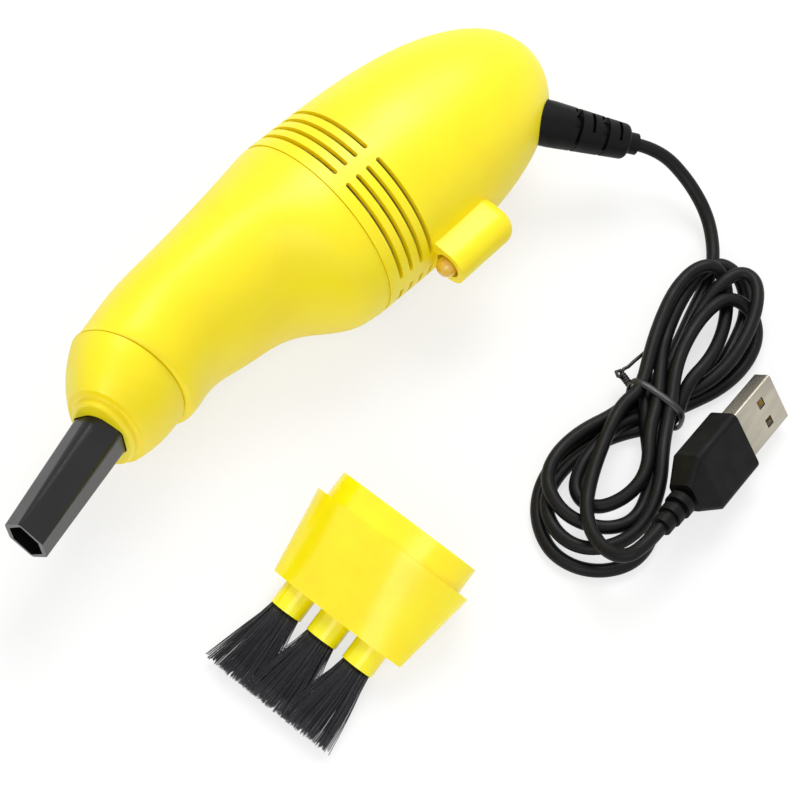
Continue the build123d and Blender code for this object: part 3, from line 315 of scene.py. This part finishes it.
# %% Bristles
bristle_count = 300
bristle_radius = 0.12
bristle_steps = 5
bristle_sides = 5
bristle_tip = 0.7
length_shares = (0.93, 1.0)
spread_shares = (0.85, 1.12)
stray_reach = 0.5
bend_power = 0.8
golden_turn = math.radians(137.5)
draw = random.Random(7)
for tube in range(3):
    tube_side = (tube - 1) * tube_pitch
    tuft_mesh = bmesh.new()
    for i in range(bristle_count):
        angle = i * golden_turn
        share = math.sqrt((i + 0.5) / bristle_count)
        across, rise = share * math.cos(angle), share * math.sin(angle)
        length = bristle_length * draw.uniform(*length_shares)
        spread = draw.uniform(*spread_shares)
        stray = draw.uniform(-stray_reach, stray_reach)
        path = []
        for k in range(bristle_steps + 1):
            s = k / bristle_steps
            bend = s ** bend_power
            wide = bundle_radius + (fan_half_width * spread - bundle_radius) * bend
            high = bundle_radius + (fan_half_height - bundle_radius) * bend
            lift = 2 * (1 - s) * s * middle_lift + s * s * tip_lift
            path.append(brush_point(
                tube_front - bristle_root * (k == 0) + length * s,
                tube_side + across * wide + stray * bend,
                rise * high + lift,
            ))
        radius = bristle_radius * MM
        sweep(
            tuft_mesh, path, radius, radius, brush_side, sides=bristle_sides, tip=bristle_tip,
        )
    piece_from(tuft_mesh, f"bristles_{tube + 1}", "brush", f"bristle_tuft_{tube + 1}")

# %% [markdown]
# ## Building materials
# A finish is a small graph of nodes. One function turns a hex colour, which is
# written as a screen shows it, into the linear light that the shader works in.
# Another adds a node with its settings and links it. Pattern sizes are given
# in real millimetres, because the pieces are built in metres.

# %% Material helpers
def tint(code):
    """Linear colour from an sRGB hex code."""
    levels = [int(code[i:i + 2], 16) / 255 for i in (1, 3, 5)]
    return [c / 12.92 if c <= 0.04045 else ((c + 0.055) / 1.055) ** 2.4 for c in levels] + [1]


def add_node(tree, kind, inputs=(), **settings):
    """Adds a node; an input is a value, or a (node, output name) to link from."""
    node = tree.nodes.new(kind)
    for key, value in settings.items():
        setattr(node, key, value)
    for key, value in dict(inputs).items():
        if isinstance(value, tuple) and isinstance(value[0], bpy.types.Node):
            tree.links.new(value[0].outputs[value[1]], node.inputs[key])
        else:
            node.inputs[key].default_value = value
    return node


def start_material(name):
    """An empty node graph with its place input, in metres."""
    material = bpy.data.materials.new(name)
    material.use_nodes = True
    material.node_tree.nodes.clear()
    place = add_node(material.node_tree, "ShaderNodeTexCoord")
    return material, material.node_tree, (place, "Object")


def mottle(tree, place, size_mm, detail=3.0, stretch=(1, 1, 1)):
    """Soft noise whose blotches are about size_mm wide."""
    scaled = add_node(tree, "ShaderNodeMapping", {"Vector": place, "Scale": stretch})
    inputs = {"Vector": (scaled, "Vector"), "Scale": 1 / (size_mm * MM), "Detail": detail}
    return add_node(tree, "ShaderNodeTexNoise", inputs)


def shift(tree, noise, low, high):
    """Turns a noise, which mostly lies from 0.3 to 0.7, into a number from low to high."""
    inputs = {
        "Value": (noise, "Fac"), "From Min": 0.3, "From Max": 0.7, "To Min": low, "To Max": high,
    }
    return (add_node(tree, "ShaderNodeMapRange", inputs), "Result")


def mix_colours(tree, shader, factor, first, second):
    """Mixes two hex colours by a factor into the shader's base colour."""
    mix = add_node(tree, "ShaderNodeMix", {"Factor": factor}, data_type="RGBA")
    colour_a, colour_b, colour_out = mix.inputs[6], mix.inputs[7], mix.outputs[2]
    colour_a.default_value = tint(first)
    colour_b.default_value = tint(second)
    tree.links.new(colour_out, shader.inputs["Base Color"])


def close_material(tree, shader):
    add_node(tree, "ShaderNodeOutputMaterial", {"Surface": (shader, "BSDF")})


def finish_of(
    name, colours, gloss, grain_mm, grain_depth_mm, tone_mm=6.0, stretch=(1, 1, 1),
    **shader_inputs,
):
    """A finish with a little tone, a little change in gloss, and a fine grain."""
    material, tree, place = start_material(name)
    tone = mottle(tree, place, tone_mm, stretch=stretch)
    grain = mottle(tree, place, grain_mm, detail=2.0, stretch=stretch)
    bump = add_node(tree, "ShaderNodeBump", {
        "Height": (grain, "Fac"), "Strength": 1.0, "Distance": grain_depth_mm * MM,
    })
    inputs = {"Normal": (bump, "Normal"), "Roughness": shift(tree, tone, *gloss)}
    inputs.update({key.replace("_", " "): value for key, value in shader_inputs.items()})
    shader = add_node(tree, "ShaderNodeBsdfPrincipled", inputs)
    mix_colours(tree, shader, shift(tree, tone, 0.0, 1.0), *colours)
    close_material(tree, shader)
    return material


# %% [markdown]
# ## Yellow ABS
# The shells are injection-moulded ABS from a spark-eroded mould: an even,
# satin skin with a grain near 0.1 mm, drawn here at 0.3 mm so that it shows.
# The brush head comes from a polished mould, so it is glossier.
#
# Yellow ABS lets a little light in, which comes out again warmer, so its shaded
# sides turn golden and not grey.

# %% Yellow plastics
glow = {
    "Subsurface_Weight": 0.2,
    "Subsurface_Radius": (1.0, 0.45, 0.08),
    "Subsurface_Scale": 2.5 * MM,
}
satin_abs = finish_of(
    "satin_yellow_abs", ("#FFEA0A", "#FDE405"), (0.38, 0.48), 0.3, 0.012, tone_mm=14.0,
    IOR=1.53, **glow,
)
gloss_abs = finish_of(
    "gloss_yellow_abs", ("#FFF00C", "#FEE607"), (0.13, 0.2), 2.5, 0.01, tone_mm=9.0,
    IOR=1.53, **glow,
)
print("yellow finishes ready")

# %% [markdown]
# ## Black plastics
# The nozzle and knob are polished black ABS. The cord jacket is soft PVC,
# drawn through a die, so it has a dull sheen and long faint waves. The plug
# grip and the strain relief are the same PVC moulded, with a finer, duller
# skin. Nylon bristles are smooth and catch thin glints; the lighter grey mixed
# into some filaments is painted glints.

# %% Black plastics
black_abs = finish_of(
    "polished_black_abs", ("#131314", "#0D0D0E"), (0.2, 0.3), 3.0, 0.012, tone_mm=7.0,
    IOR=1.53, Specular_IOR_Level=0.35,
)
jacket_pvc = finish_of(
    "extruded_black_pvc", ("#0C0C0D", "#070708"), (0.4, 0.52), 1.2, 0.02, tone_mm=5.0,
    IOR=1.5, Specular_IOR_Level=0.18,
)
moulded_pvc = finish_of(
    "moulded_black_pvc", ("#0B0B0B", "#060607"), (0.44, 0.56), 0.35, 0.02, tone_mm=4.0,
    IOR=1.5, Specular_IOR_Level=0.14,
)
tie_plastic = finish_of(
    "tie_ribbon_plastic", ("#101010", "#080808"), (0.28, 0.4), 0.5, 0.02, tone_mm=2.0, IOR=1.5,
)
# The lighter grey, #34343A, mixed into some filaments is painted glints.
nylon = finish_of(
    "black_nylon_with_painted_glints", ("#34343A", "#040405"), (0.2, 0.34), 1.0, 0.004, tone_mm=0.7,
    IOR=1.53,
)
print("black finishes ready")

# %% [markdown]
# ## White plastics, wires and the resistor
# The fan and the motor's end cap are unpigmented nylon, a slightly warm
# white. Wire insulation is smooth PVC, and the resistor's body
# is dipped in beige lacquer.

# %% Small parts
white_nylon = finish_of("white_nylon", ("#E4E2DA", "#DAD7CC"), (0.34, 0.44), 0.4, 0.01, IOR=1.53)
red_wire = finish_of("red_wire_pvc", ("#B01712", "#A01410"), (0.26, 0.36), 0.6, 0.01, IOR=1.5)
black_wire = finish_of("black_wire_pvc", ("#131313", "#0C0C0C"), (0.26, 0.36), 0.6, 0.01, IOR=1.5)
lacquer = finish_of("beige_lacquer", ("#C9AA77", "#BD9C68"), (0.3, 0.4), 0.5, 0.02, IOR=1.5)
print("small finishes ready")

# %% [markdown]
# ## Metals
# The plug's shell is folded steel sheet with bright nickel on it: warm grey,
# with faint rolling lines along it and dull patches from handling. The motor
# can and screws are zinc-plated, and the contacts are brass. Ferrite magnets
# and the armature's stacked sheets are dull and dark.

# %% Metals
roll_lines = (0.12, 1, 1)
nickel = finish_of(
    "nickel_plated_steel", ("#BDB7A8", "#A39D8F"), (0.2, 0.38), 0.35, 0.01, tone_mm=3.0,
    stretch=roll_lines, Metallic=1.0,
)
zinc = finish_of(
    "zinc_plated_steel", ("#B4B6B8", "#9FA1A3"), (0.28, 0.4), 0.3, 0.006, tone_mm=3.0, Metallic=1.0,
)
brass = finish_of("bright_brass", ("#D2AC5C", "#C29A4A"), (0.22, 0.34), 0.3, 0.005, Metallic=1.0)
ferrite = finish_of("ferrite", ("#2C2C2E", "#232325"), (0.6, 0.75), 0.3, 0.03)
core_sheets = (40, 1, 1)
iron = finish_of(
    "stacked_iron_sheets", ("#6E6862", "#57524D"), (0.4, 0.55), 20.0, 0.06, tone_mm=20.0,
    stretch=core_sheets, Metallic=1.0,
)
print("metals ready")

# %% [markdown]
# ## Filter cloth
# The filter is a plain-woven polyester mesh. Two bands of waves crossed at a
# right angle give threads 0.25 mm apart. Their crossing also darkens the colour
# in the holes between the threads: painted shade.

# %% Filter cloth
thread_mm = 0.25
thread_depth_mm = 0.1
waves_per_turn = 20
filter_weave, weave_tree, weave_place = start_material("woven_polyester")
threads = []
for direction in ("Y", "Z"):
    inputs = {"Vector": weave_place, "Scale": math.tau / (waves_per_turn * thread_mm * MM)}
    threads.append(add_node(
        weave_tree, "ShaderNodeTexWave", inputs, wave_type="BANDS", bands_direction=direction,
    ))
crossing = add_node(
    weave_tree, "ShaderNodeMath", {0: (threads[0], "Fac"), 1: (threads[1], "Fac")},
    operation="MULTIPLY",
)
weave_bump = add_node(weave_tree, "ShaderNodeBump", {
    "Height": (crossing, "Value"), "Distance": thread_depth_mm * MM,
})
weave_shader = add_node(weave_tree, "ShaderNodeBsdfPrincipled", {
    "Normal": (weave_bump, "Normal"), "Roughness": 0.85, "Sheen Weight": 0.3,
})
# Darker where the threads dip, in the holes: painted shade.
mix_colours(weave_tree, weave_shader, (crossing, "Value"), "#B9B7B0", "#E2E0DA")
close_material(weave_tree, weave_shader)
print("weave ready")

# %% [markdown]
# ## Lamp
# The lamp is a 5 mm lamp cast in clear amber epoxy. It is smooth and bends light
# strongly. Its yellow base colour is partly the epoxy's amber and partly a
# painted reflection of the yellow shell round it.

# %% Lamp
lamp_amber_and_painted_reflection, lamp_tree, lamp_place = start_material("amber_epoxy_and_painted_reflection")
lamp_swirl = mottle(lamp_tree, lamp_place, 2.0)
lamp_shader = add_node(lamp_tree, "ShaderNodeBsdfPrincipled", {
    "Roughness": 0.08, "IOR": 1.55, "Transmission Weight": 0.25, "Coat Weight": 0.4,
})
# The two yellows are partly the amber tint and partly painted reflection of the shell.
mix_colours(lamp_tree, lamp_shader, shift(lamp_tree, lamp_swirl, 0.0, 1.0), "#FFD84A", "#FBC024")
close_material(lamp_tree, lamp_shader)
print("lamp ready")

# %% [markdown]
# ## Dressing the pieces
# One table says which piece has which finish, and the record's slot that it
# stands for. Every CAD piece has a line, also those inside the shells, because
# they show when the front is pulled off.

# %% Dress every piece
finishes = [
    (satin_abs, "yellow_plastic", "rear_shell front_shell joint_ring nose_cap"),
    (satin_abs, "yellow_plastic", "fan_plate anchor_block"),
    (gloss_abs, "yellow_plastic", "brush_head"),
    (black_abs, "black_plastic", "nozzle switch_knob switch_body filter_frame"),
    (jacket_pvc, "black_pvc", "power_cord cord_lead cord_hank cord_tail"),
    (moulded_pvc, "black_pvc", "strain_relief plug_grip"),
    (tie_plastic, "tie_plastic", "tie_ribbon twist_tie"),
    (nylon, "black_bristle", "bristles_1 bristles_2 bristles_3"),
    (nylon, "black_bristle", "bristle_tuft_1 bristle_tuft_2 bristle_tuft_3"),
    (white_nylon, "white_plastic", "fan motor_end_cap motor_mount plug_tongue"),
    (red_wire, "red_wire", "supply_wire motor_wire lamp_feed_wire"),
    (black_wire, "black_wire", "return_wire lamp_return_wire"),
    (lacquer, "resistor_body", "resistor"),
    (nickel, "plated_steel", "plug_shell lamp_leads"),
    (zinc, "plated_steel", "motor_can motor_shaft tail_screws"),
    (brass, "brass", "motor_terminals plug_contacts"),
    (ferrite, "magnet", "motor_magnets"),
    (iron, "iron_core", "armature"),
    (filter_weave, "filter_cloth", "filter_cloth"),
    (lamp_amber_and_painted_reflection, "lamp_lens", "lamp"),
]
dressed = set()
for material, slot, names in finishes:
    for name in names.split():
        piece = bpy.data.objects[name]
        piece.data.materials.clear()
        piece.data.materials.append(material)
        dressed.add(name)
print("left undressed:", sorted(set(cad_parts) - dressed))

# %% [markdown]
# ## Floor and light
# The object stands on a pale sheet that fades to white. The floor takes real
# shadows, but where it is looked at, straight or in a gloss, it is mostly a
# plain white glow, so the shadows stay soft and light. A large lamp on the
# right gives the shadows their side, a second one on the left opens them, and
# the white room fills the rest.

# %% Floor
def seen_in(tree):
    """1 where it is looked at straight, in a gloss or through a lens, and else 0."""
    ray = add_node(tree, "ShaderNodeLightPath")
    bare = add_node(
        tree, "ShaderNodeMath", {0: (ray, "Is Camera Ray"), 1: (ray, "Is Glossy Ray")},
        operation="MAXIMUM",
    )
    through = {0: (bare, "Value"), 1: (ray, "Is Transmission Ray")}
    return (add_node(tree, "ShaderNodeMath", through, operation="MAXIMUM"), "Value")


white = (1, 1, 1, 1)
floor_size = 4.0
floor_mesh = bpy.data.meshes.new("floor")
half = floor_size / 2
floor_mesh.from_pydata(
    [(-half, -half, 0), (half, -half, 0), (half, half, 0), (-half, half, 0)], [], [(0, 1, 2, 3)]
)
floor = bpy.data.objects.new("floor", floor_mesh)
bpy.context.scene.collection.objects.link(floor)
floor_paper, floor_tree, _ = start_material("white_paper")
paper_shader = add_node(floor_tree, "ShaderNodeBsdfPrincipled", {
    "Base Color": tint("#F7F7F7"), "Roughness": 0.9, "Specular IOR Level": 0.1,
})
paper_glow = add_node(floor_tree, "ShaderNodeEmission", {"Color": white, "Strength": 1.0})
glow_share = 0.7
eye_share = add_node(
    floor_tree, "ShaderNodeMath", {0: seen_in(floor_tree), 1: glow_share},
    operation="MULTIPLY",
)
paper_mix = add_node(floor_tree, "ShaderNodeMixShader", {0: (eye_share, "Value")})
floor_tree.links.new(paper_shader.outputs["BSDF"], paper_mix.inputs[1])
floor_tree.links.new(paper_glow.outputs["Emission"], paper_mix.inputs[2])
add_node(floor_tree, "ShaderNodeOutputMaterial", {"Surface": (paper_mix, "Shader")})
floor_mesh.materials.append(floor_paper)
print("floor laid")

# %% Lights
def softbox(name, place, width, power):
    """A square lamp of that width in metres, turned to the middle of the floor."""
    data = bpy.data.lights.new(name, "AREA")
    data.size = width
    data.energy = power
    lamp = bpy.data.objects.new(name, data)
    lamp.location = place
    lamp.rotation_euler = (-lamp.location).to_track_quat("-Z", "Y").to_euler()
    bpy.context.scene.collection.objects.link(lamp)


softbox("key_light", place=(0.36, 0.2, 0.66), width=0.42, power=3.6)
softbox("side_light", place=(-0.42, -0.3, 0.56), width=0.5, power=1.7)

world = bpy.data.worlds.new("white_room")
world.use_nodes = True
world_tree = world.node_tree
world_tree.nodes.clear()
room_light, room_white = 0.55, 1.0
level = add_node(world_tree, "ShaderNodeMapRange", {
    "Value": seen_in(world_tree), "To Min": room_light, "To Max": room_white,
})
sky = add_node(
    world_tree, "ShaderNodeBackground", {"Color": white, "Strength": (level, "Result")},
)
add_node(world_tree, "ShaderNodeOutputWorld", {"Surface": (sky, "Background")})
bpy.context.scene.world = world
bpy.context.scene.view_settings.view_transform = "Standard"
print("lights set")
